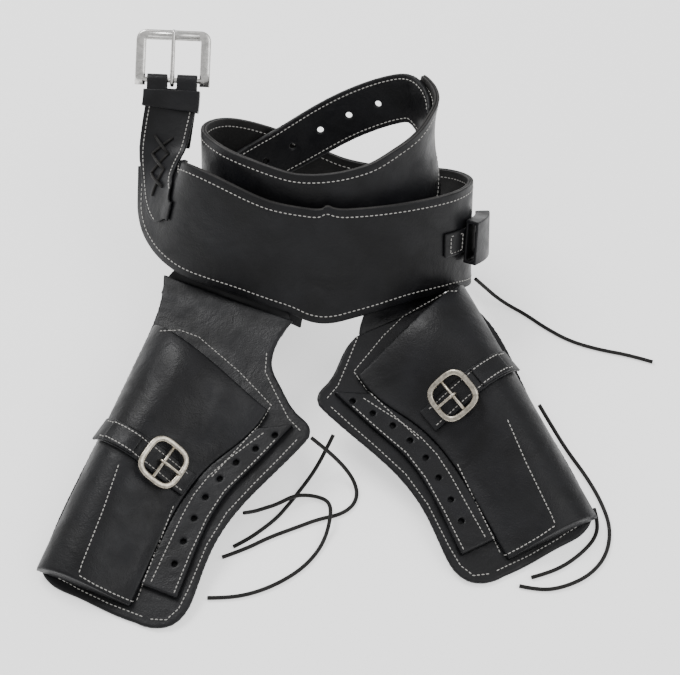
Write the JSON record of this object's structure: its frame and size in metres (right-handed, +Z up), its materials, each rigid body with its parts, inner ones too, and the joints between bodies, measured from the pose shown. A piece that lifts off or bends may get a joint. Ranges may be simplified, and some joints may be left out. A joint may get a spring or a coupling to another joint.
{
  "type": "western double-holster belt rig",
  "caption": "Black leather gun belt, buckled end up, coiled on its side with a holster hanging from the front on each side, punched billet, tie-down thongs, satin metal buckles.",
  "frame": {"origin": "centre of the bounding box, without the thongs, at the table", "axes": "+Z up from the table; +X towards the right-hand holster; -Y towards the holster toes"},
  "size_m": [0.4602, 0.428, 0.169],
  "materials": {
    "black_leather": "semi-gloss, grained",
    "lining_leather": "matt",
    "thong": "matt",
    "satin_nickel": "satin",
    "worn_nickel": "worn satin"
  },
  "bodies": {
    "belt": {"belt_outer": "black_leather", "belt_lining": "lining_leather", "billet_strap": "black_leather", "buckle_strap": "black_leather", "buckle_keeper": "black_leather", "chape_lacing": "thong", "side_tab": "black_leather", "side_tab_loop": "black_leather", "left_hanger": "black_leather", "right_hanger": "black_leather", "centre_drop": "black_leather", "belt_cord": "thong"},
    "main_buckle": {"main_buckle_frame": "satin_nickel"},
    "main_tongue": {"main_buckle_tongue": "satin_nickel"},
    "left_holster": {"left_skirt": "black_leather", "left_welt": "black_leather", "left_pouch": "black_leather", "left_strap": "black_leather", "left_strap_chape": "black_leather", "left_ring_buckle": "worn_nickel", "left_tie_cord": "thong", "centre_tie_cord": "thong", "left_loop_cord": "thong"},
    "left_tongue": {"left_ring_tongue": "worn_nickel"},
    "right_holster": {"right_skirt": "black_leather", "right_welt": "black_leather", "right_pouch": "black_leather", "right_strap": "black_leather", "right_strap_chape": "black_leather", "right_ring_buckle": "worn_nickel", "right_tie_cord": "thong", "right_loop_cord": "thong"},
    "right_tongue": {"right_ring_tongue": "worn_nickel"}
  },
  "joints": [
    {"name": "left_holster_drop", "type": "hinge", "parent": "belt", "child": "left_holster", "pos_m": [-0.0676, 0.04149, 0.05679], "axis": [0.9164, -0.4004, 0], "range_deg": [0, 12]},
    {"name": "right_holster_drop", "type": "hinge", "parent": "belt", "child": "right_holster", "pos_m": [0.06359, 0.03406, 0.04792], "axis": [0.8813, 0.4726, 0], "range_deg": [0, 12]},
    {"name": "main_buckle_swing", "type": "hinge", "parent": "belt", "child": "main_buckle", "pos_m": [-0.11124, 0.18149, 0.14132], "axis": [0.9991, -0.0346, -0.0255], "range_deg": [-30, 30]},
    {"name": "main_tongue_lift", "type": "hinge", "parent": "main_buckle", "child": "main_tongue", "pos_m": [-0.11124, 0.18149, 0.14132], "axis": [0.9991, -0.0346, -0.0255], "range_deg": [0, 55]},
    {"name": "left_tongue_lift", "type": "hinge", "parent": "left_holster", "child": "left_tongue", "pos_m": [-0.11223, -0.10337, 0.0509], "axis": [-0.5514, -0.8072, -0.2107], "range_deg": [0, 80]},
    {"name": "right_tongue_lift", "type": "hinge", "parent": "right_holster", "child": "right_tongue", "pos_m": [0.09863, -0.05002, 0.05813], "axis": [-0.6117, 0.7621, 0.2124], "range_deg": [0, 80]}
  ]
}
